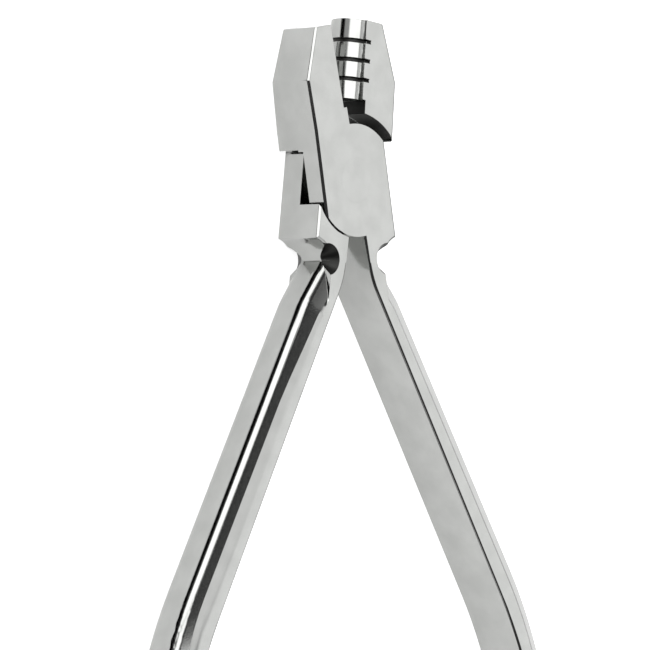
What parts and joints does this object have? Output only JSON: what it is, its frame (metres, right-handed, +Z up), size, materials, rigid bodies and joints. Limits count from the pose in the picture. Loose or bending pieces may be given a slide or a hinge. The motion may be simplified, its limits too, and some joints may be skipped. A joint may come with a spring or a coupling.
{
  "type": "orthodontic contouring pliers",
  "caption": "Open lap-joint orthodontic pliers with a grooved round former beak, a trough beak, rounded handles and a flush rivet, for bending archwires and bands.",
  "frame": {"origin": "on the rivet's axis, in the plane of the back face that the pliers lie on", "axes": "+Z up along the rivet, out of the front face; +Y along the closing line, towards the beak tips; +X to the right, seen from the front"},
  "size_m": [0.0912, 0.1156, 0.0086],
  "materials": {
    "satin_steel": "satin ground stainless steel with polished edges",
    "rivet_steel": "ground flush stainless steel"
  },
  "bodies": {
    "grooved_lever": {"grooved_lever": "satin_steel"},
    "trough_lever": {"trough_lever": "satin_steel", "pivot_rivet": "rivet_steel"}
  },
  "joints": [
    {"name": "jaw_pivot", "type": "hinge", "parent": "grooved_lever", "child": "trough_lever", "pos_m": [0, 0, 0.0043], "axis": [0, 0, 1], "range_deg": [-17.5, 4]}
  ]
}
